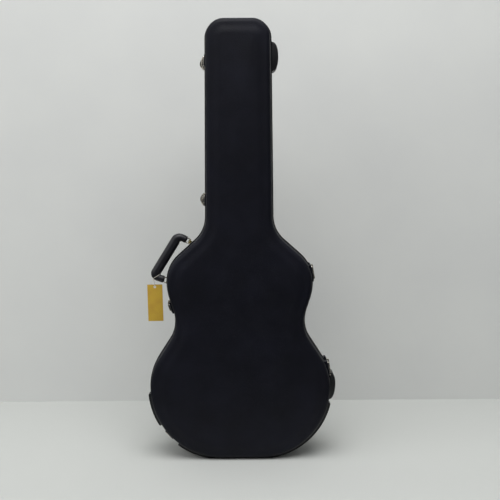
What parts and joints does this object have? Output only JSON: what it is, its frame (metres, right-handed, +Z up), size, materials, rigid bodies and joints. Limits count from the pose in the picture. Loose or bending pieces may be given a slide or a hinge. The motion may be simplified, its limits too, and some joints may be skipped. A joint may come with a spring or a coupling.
{
  "type": "acoustic guitar case",
  "caption": "Moulded hard case for a dreadnought acoustic guitar that stands on its flat end, with a hinged lid, draw latches, a side handle, feet on the hinge side and a plush lined inside",
  "frame": {"origin": "on the ground under the middle of the standing case, the hanging tag left out", "axes": "+Z runs up from the flat end to the head, -Y is where the lid faces, +X is the side with the hinges and feet, -X the side with the latches and handle"},
  "size_m": [0.4899, 0.163, 1.105],
  "materials": {
    "shell_plastic": "moulded black plastic with a fine grain",
    "rim_metal": "black anodised",
    "bumper_plastic": "moulded black plastic",
    "nickel": "nickel plated steel",
    "handle_plastic": "smooth black plastic",
    "brass": "brassed, a little dull",
    "plush": "black plush over foam",
    "ribbon": "woven black ribbon",
    "tag_paper": "ochre card",
    "string_cotton": "white cotton"
  },
  "bodies": {
    "base": {"base_shell": "shell_plastic", "base_rim": "rim_metal", "end_bumper_base": "bumper_plastic", "side_bumper_base": "bumper_plastic", "upper_foot": "bumper_plastic", "lower_foot": "bumper_plastic", "upper_hinge_base_leaf": "nickel", "upper_hinge_pin": "nickel", "lower_hinge_base_leaf": "nickel", "lower_hinge_pin": "nickel", "latch_1_plate": "nickel", "latch_1_pin": "nickel", "latch_2_plate": "nickel", "latch_2_pin": "nickel", "latch_3_plate": "nickel", "latch_3_pin": "nickel", "latch_4_plate": "nickel", "latch_4_pin": "nickel", "handle_bracket_upper": "brass", "handle_bracket_lower": "brass", "base_lining": "plush", "neck_rest": "plush", "accessory_box": "plush", "accessory_pin": "nickel"},
    "lid": {"lid_shell": "shell_plastic", "lid_rim": "rim_metal", "end_bumper_lid": "bumper_plastic", "side_bumper_lid": "bumper_plastic", "lid_lining": "plush", "upper_hinge_lid_leaf": "nickel", "lower_hinge_lid_leaf": "nickel", "latch_1_catch": "nickel", "latch_2_catch": "nickel", "latch_3_catch": "nickel", "latch_4_catch": "nickel"},
    "lever_1": {"latch_1_lever": "nickel"},
    "lever_2": {"latch_2_lever": "nickel"},
    "lever_3": {"latch_3_lever": "nickel"},
    "lever_4": {"latch_4_lever": "nickel"},
    "hook_1": {"latch_1_hook": "nickel"},
    "hook_2": {"latch_2_hook": "nickel"},
    "hook_3": {"latch_3_hook": "nickel"},
    "hook_4": {"latch_4_hook": "nickel"},
    "handle": {"handle_grip": "handle_plastic", "handle_loop_upper": "nickel", "handle_loop_lower": "nickel", "tag_string": "string_cotton"},
    "flap": {"accessory_flap": "plush", "pull_tab": "ribbon"},
    "tag": {"hang_tag": "tag_paper"}
  },
  "joints": [
    {"name": "lid_hinge", "type": "hinge", "parent": "base", "child": "lid", "pos_m": [0.1992, -0.0275, 0.355], "axis": [-0.1679, 0, 0.9858], "range_deg": [0, 95]},
    {"name": "lever_1_pivot", "type": "hinge", "parent": "base", "child": "lever_1", "pos_m": [-0.0956, -0.015, 1.00154], "axis": [0.0087, 0, 1], "range_deg": [0, 100]},
    {"name": "lever_2_pivot", "type": "hinge", "parent": "base", "child": "lever_2", "pos_m": [-0.09856, -0.015, 0.66204], "axis": [0.0087, 0, 1], "range_deg": [0, 100]},
    {"name": "lever_3_pivot", "type": "hinge", "parent": "base", "child": "lever_3", "pos_m": [-0.18622, -0.015, 0.38849], "axis": [-0.314, 0, 0.9494], "range_deg": [0, 100]},
    {"name": "lever_4_pivot", "type": "hinge", "parent": "base", "child": "lever_4", "pos_m": [-0.19578, -0.015, 0.0578], "axis": [-0.6691, 0, 0.7431], "range_deg": [0, 100]},
    {"name": "hook_1_pivot", "type": "hinge", "parent": "lever_1", "child": "hook_1", "pos_m": [-0.09512, -0.00802, 1.00154], "axis": [0.0087, 0, 1], "range_deg": [-100, 0]},
    {"name": "hook_2_pivot", "type": "hinge", "parent": "lever_2", "child": "hook_2", "pos_m": [-0.09807, -0.00802, 0.66204], "axis": [0.0087, 0, 1], "range_deg": [-100, 0]},
    {"name": "hook_3_pivot", "type": "hinge", "parent": "lever_3", "child": "hook_3", "pos_m": [-0.18576, -0.00802, 0.38864], "axis": [-0.314, 0, 0.9494], "range_deg": [-100, 0]},
    {"name": "hook_4_pivot", "type": "hinge", "parent": "lever_4", "child": "hook_4", "pos_m": [-0.19541, -0.00802, 0.05813], "axis": [-0.6691, 0, 0.7431], "range_deg": [-100, 0]},
    {"name": "handle_swing", "type": "hinge", "parent": "base", "child": "handle", "pos_m": [-0.16718, 0.0105, 0.50066], "axis": [-0.4943, 0, -0.8693], "range_deg": [-45, 45]},
    {"name": "flap_hinge", "type": "hinge", "parent": "base", "child": "flap", "pos_m": [-0.00812, 0.0185, 0.7397], "axis": [-1, 0, 0], "range_deg": [0, 85]},
    {"name": "tag_swing", "type": "hinge", "parent": "handle", "child": "tag", "pos_m": [-0.23003, 0.0105, 0.43456], "axis": [0, 1, 0], "range_deg": [-6, 25]}
  ],
  "couplings": [
    {"joint": "hook_1_pivot", "follows": "lever_1_pivot", "ratio": -1},
    {"joint": "hook_2_pivot", "follows": "lever_2_pivot", "ratio": -1},
    {"joint": "hook_3_pivot", "follows": "lever_3_pivot", "ratio": -1},
    {"joint": "hook_4_pivot", "follows": "lever_4_pivot", "ratio": -1}
  ]
}
